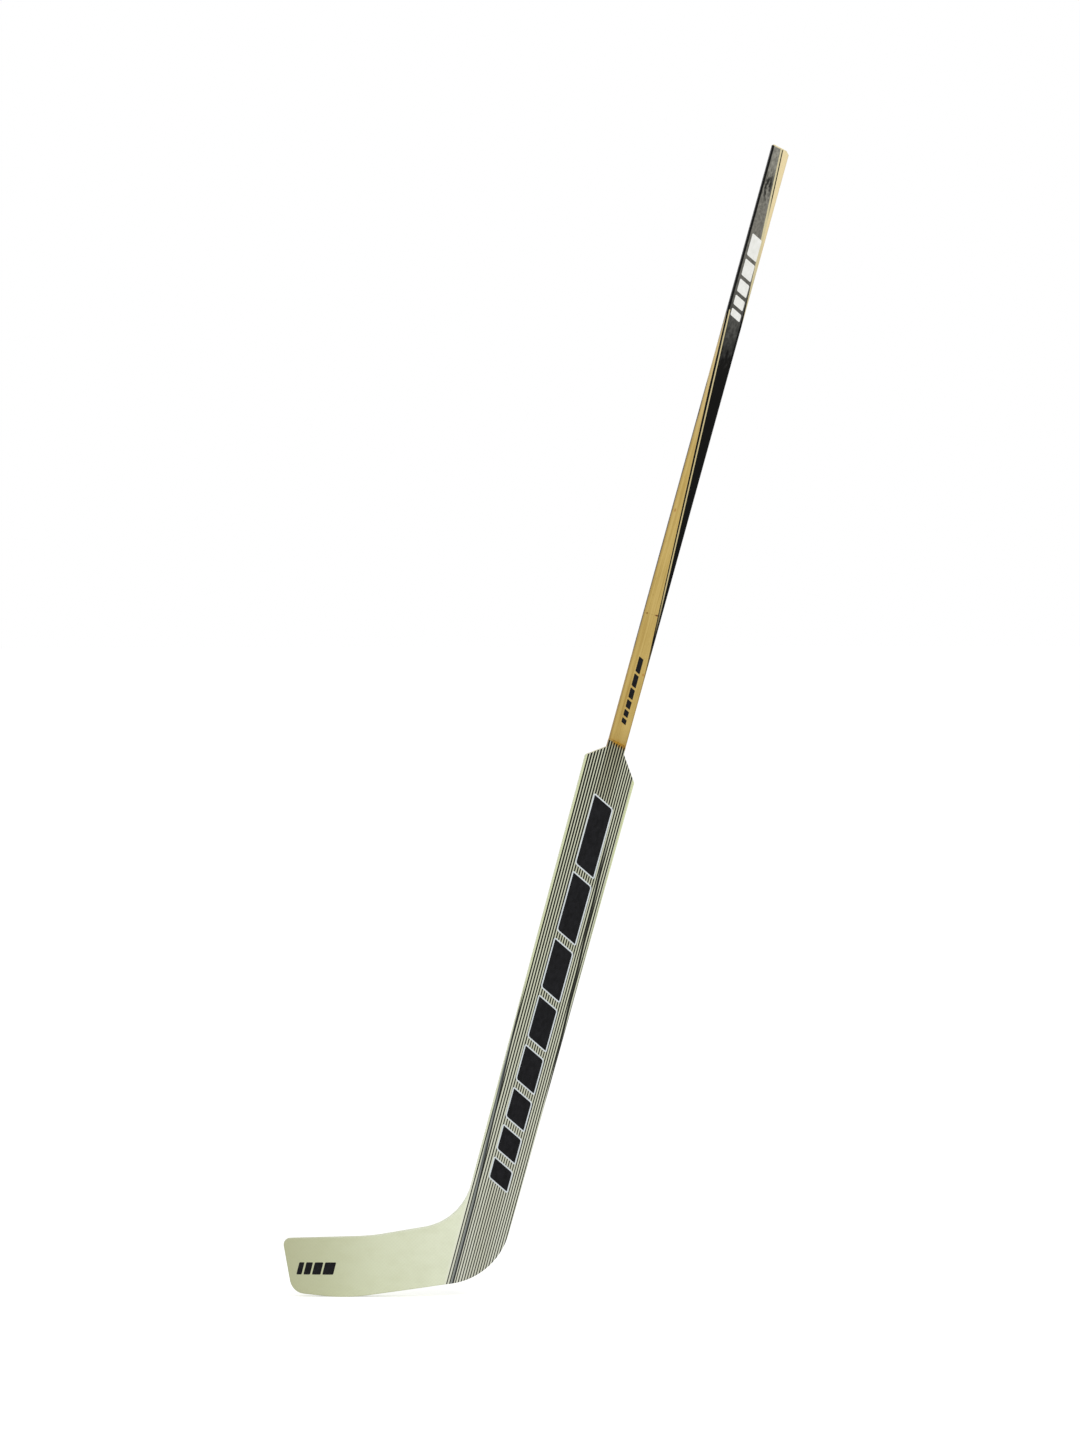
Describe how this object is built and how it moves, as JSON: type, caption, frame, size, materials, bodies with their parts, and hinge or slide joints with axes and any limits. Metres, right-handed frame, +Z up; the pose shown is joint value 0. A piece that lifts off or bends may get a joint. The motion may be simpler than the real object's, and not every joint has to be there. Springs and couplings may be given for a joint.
{
  "type": "hockey goalie stick",
  "caption": "Ice hockey goaltender's stick with a laminated wooden handle, a wide paddle faced in striped glass cloth and a curved foam-core blade for stopping pucks.",
  "frame": {"origin": "on the handle's axis at the neck, where the handle enters the paddle, midway between the two faces", "axes": "+Z up with the blade's sole at the bottom and the handle leaning 15.4 degrees towards +X, +X from the toe towards the heel, -Y out of the striped front face and +Y out of the back"},
  "size_m": [0.659, 0.0327, 1.5034],
  "materials": {
    "handle_ply": "lacquered birch ply",
    "front_veneer": "lacquered ash veneer with a painted band",
    "back_veneer": "lacquered ash veneer",
    "foam": "rigid foam",
    "shoulder_cap": "resin-coated wood",
    "edge_strip": "resin-coated glass fibre",
    "heel_wood": "bare wood",
    "front_cloth": "resin-coated glass cloth with dark yarns",
    "back_cloth": "resin-coated glass cloth with dark yarns",
    "blade_skin": "resin-coated glass fibre",
    "blade_edge": "resin-coated glass fibre"
  },
  "bodies": {
    "root": {"handle_center_ply": "handle_ply", "handle_front_ply": "handle_ply", "handle_back_ply": "handle_ply", "handle_front_veneer_upper": "front_veneer", "handle_front_veneer_lower": "front_veneer", "handle_back_veneer": "back_veneer", "paddle_core_toe_side": "foam", "paddle_core_heel_side": "foam", "toe_shoulder_cap": "shoulder_cap", "heel_shoulder_cap": "shoulder_cap", "paddle_toe_edge": "edge_strip", "paddle_heel_edge": "edge_strip", "heel_block": "heel_wood", "heel_wear_strip": "edge_strip", "paddle_front_cloth": "front_cloth", "paddle_back_cloth": "back_cloth", "blade_core": "foam", "blade_front_skin": "blade_skin", "blade_back_skin": "blade_skin", "blade_top_edge": "blade_edge", "blade_bottom_edge": "blade_edge"}
  },
  "joints": []
}
